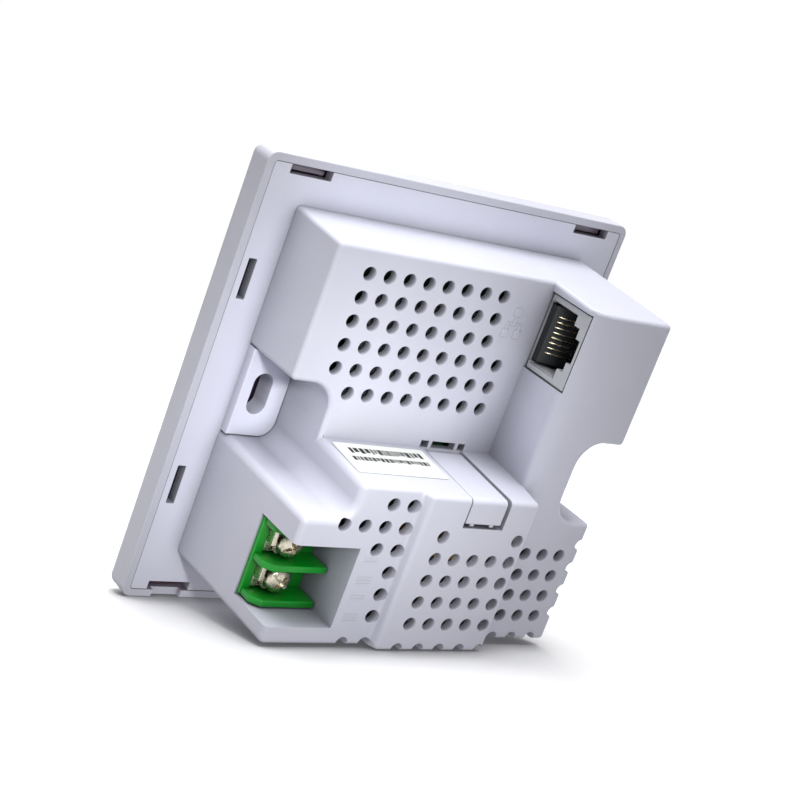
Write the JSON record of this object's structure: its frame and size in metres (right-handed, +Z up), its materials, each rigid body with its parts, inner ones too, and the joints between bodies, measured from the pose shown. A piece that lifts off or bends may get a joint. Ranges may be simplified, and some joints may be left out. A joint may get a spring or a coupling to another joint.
{
  "type": "in-wall wireless access point",
  "caption": "Square in-wall wireless access point with a stepped vented body, side-facing network jack, screw terminal and clip-on front cover.",
  "frame": {"origin": "centre of the panel, in the plane where it bears on the wall", "axes": "+Y goes into the wall, -Y faces the room, +Z is up, and +X is to the right as seen from the room"},
  "size_m": [0.086, 0.0391, 0.086],
  "materials": {
    "cover": "white satin moulded cover",
    "shell": "white satin moulded plastic",
    "label": "printed paper label, left blank",
    "terminal_green": "green moulded plastic",
    "nickel": "nickel plated brass",
    "jack_shell": "light grey plastic",
    "contact_gold": "gold plated springs",
    "black_plastic": "black moulded plastic",
    "board": "green solder mask",
    "steel": "tinned steel",
    "aluminium": "bare aluminium",
    "ferrite": "sintered ferrite",
    "winding_tape": "yellow polyester tape",
    "capacitor_sleeve": "dark blue sleeve",
    "clear": "clear acrylic",
    "ceramic": "pale ceramic"
  },
  "bodies": {
    "root": {"base_frame": "shell", "rear_housing": "shell", "rating_label": "label", "terminal_block": "terminal_green", "terminal_plate_1": "nickel", "terminal_plate_2": "nickel", "wan_jack": "jack_shell", "wan_contact_comb": "black_plastic", "lan_jack": "jack_shell", "lan_contact_comb": "black_plastic", "main_board": "board", "power_board": "board", "board_link": "black_plastic", "radio_shield": "steel", "processor": "black_plastic", "line_transformer": "black_plastic", "heat_spreader": "aluminium", "antenna_1": "steel", "antenna_2": "steel", "transformer_core": "ferrite", "transformer_winding": "winding_tape", "capacitor_1": "capacitor_sleeve", "capacitor_2": "capacitor_sleeve", "bridge_rectifier": "black_plastic", "fuse": "ceramic", "status_led": "ceramic", "reset_switch": "black_plastic", "board_screw_1": "steel", "housing_screw_1": "steel", "board_screw_2": "steel", "housing_screw_2": "steel", "board_screw_3": "steel", "housing_screw_3": "steel", "board_screw_4": "steel", "housing_screw_4": "steel"},
    "front_cover": {"front_cover": "cover", "light_pipe": "clear"},
    "reset_button": {"reset_button": "cover"},
    "terminal_clamp_1": {"terminal_clamp_1": "nickel"},
    "terminal_clamp_2": {"terminal_clamp_2": "nickel"},
    "terminal_screw_1": {"terminal_screw_1": "nickel"},
    "terminal_screw_2": {"terminal_screw_2": "nickel"},
    "latch_clip": {"latch_clip": "shell"},
    "wan_contacts": {"wan_contacts": "contact_gold"},
    "lan_contacts": {"lan_contacts": "contact_gold"}
  },
  "joints": [
    {"name": "cover_pull", "type": "slide", "parent": "root", "child": "front_cover", "axis": [0, -1, 0], "range_m": [0, 0.012]},
    {"name": "reset_press", "type": "slide", "parent": "front_cover", "child": "reset_button", "axis": [0, 1, 0], "range_m": [0, 0.0004], "stiffness_N_per_m": 800},
    {"name": "clamp_lift_1", "type": "slide", "parent": "root", "child": "terminal_clamp_1", "axis": [0, 1, 0], "range_m": [0, 0.002]},
    {"name": "screw_turn_1", "type": "hinge", "parent": "terminal_clamp_1", "child": "terminal_screw_1", "pos_m": [0.02825, 0.0225, -0.01903], "axis": [0, 1, 0], "range_deg": [0, 1440]},
    {"name": "clamp_lift_2", "type": "slide", "parent": "root", "child": "terminal_clamp_2", "axis": [0, 1, 0], "range_m": [0, 0.002]},
    {"name": "screw_turn_2", "type": "hinge", "parent": "terminal_clamp_2", "child": "terminal_screw_2", "pos_m": [0.02825, 0.0225, -0.02598], "axis": [0, 1, 0], "range_deg": [0, 1440]},
    {"name": "latch_flex", "type": "hinge", "parent": "root", "child": "latch_clip", "pos_m": [-0.003, 0.03235, -0.0073], "axis": [1, 0, 0], "range_deg": [0, 4], "stiffness_Nm_per_rad": 0.4},
    {"name": "wan_contact_flex", "type": "hinge", "parent": "root", "child": "wan_contacts", "pos_m": [-0.0165, 0.017, 0.02434], "axis": [0, 0, 1], "range_deg": [0, 11], "stiffness_Nm_per_rad": 0.02},
    {"name": "lan_contact_flex", "type": "hinge", "parent": "root", "child": "lan_contacts", "pos_m": [0, -0.0046, -0.0133], "axis": [1, 0, 0], "range_deg": [0, 11], "stiffness_Nm_per_rad": 0.02}
  ],
  "couplings": [
    {"joint": "screw_turn_1", "follows": "clamp_lift_1", "rad_per_m": 12566},
    {"joint": "screw_turn_2", "follows": "clamp_lift_2", "rad_per_m": 12566}
  ]
}
